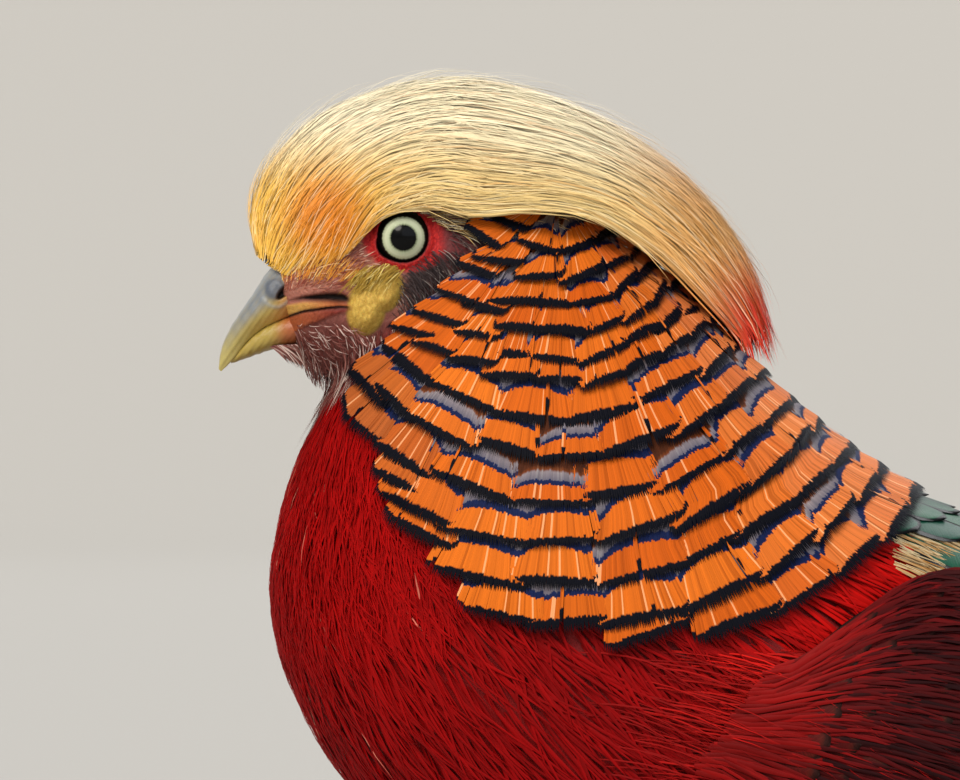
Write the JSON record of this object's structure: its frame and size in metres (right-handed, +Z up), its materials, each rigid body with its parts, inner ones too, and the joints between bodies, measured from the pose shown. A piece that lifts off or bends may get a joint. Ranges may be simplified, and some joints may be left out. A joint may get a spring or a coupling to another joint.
{
  "type": "golden pheasant",
  "caption": "Life-size male golden pheasant standing still, with golden crest, barred orange cape, scarlet breast and long arched tail.",
  "frame": {"origin": "middle of the whole bird's box, on the floor", "axes": "-X is where the bill points, +Z is up, and the bird's own left side is at -Y"},
  "size_m": [0.9026, 0.1256, 0.3158],
  "materials": {
    "bare_skin": "matt bare skin of the face, red round the eye",
    "eye": "wet gloss, pale iris round a black pupil",
    "horn": "smooth satin horn",
    "scarlet_plumage": "soft hair-like feathers",
    "orange_plumage": "silky square-ended feathers with blue-black bars",
    "golden_plumage": "long silky feathers",
    "green_plumage": "glossy scale-like feathers with black edges",
    "wing_plumage": "firm vanes, dark red, blue and brown",
    "tail_plumage": "firm vanes, black-brown with cinnamon spots",
    "thigh_plumage": "short soft feathers",
    "leg_scales": "dry horny scales and claws"
  },
  "bodies": {
    "root": {"head": "bare_skin", "eye_left": "eye", "eye_right": "eye", "bill_upper": "horn", "bill_lower": "horn", "neck": "scarlet_plumage", "torso": "scarlet_plumage", "cape_left": "orange_plumage", "cape_right": "orange_plumage", "cape_back": "orange_plumage", "crest": "golden_plumage", "mantle": "green_plumage", "rump": "golden_plumage", "wing_left": "wing_plumage", "wing_right": "wing_plumage", "tail": "tail_plumage", "tail_left": "tail_plumage", "tail_right": "tail_plumage", "tail_coverts_left": "scarlet_plumage", "tail_coverts_right": "scarlet_plumage", "thigh_left": "thigh_plumage", "thigh_right": "thigh_plumage", "leg_left": "leg_scales", "leg_right": "leg_scales"}
  },
  "joints": []
}
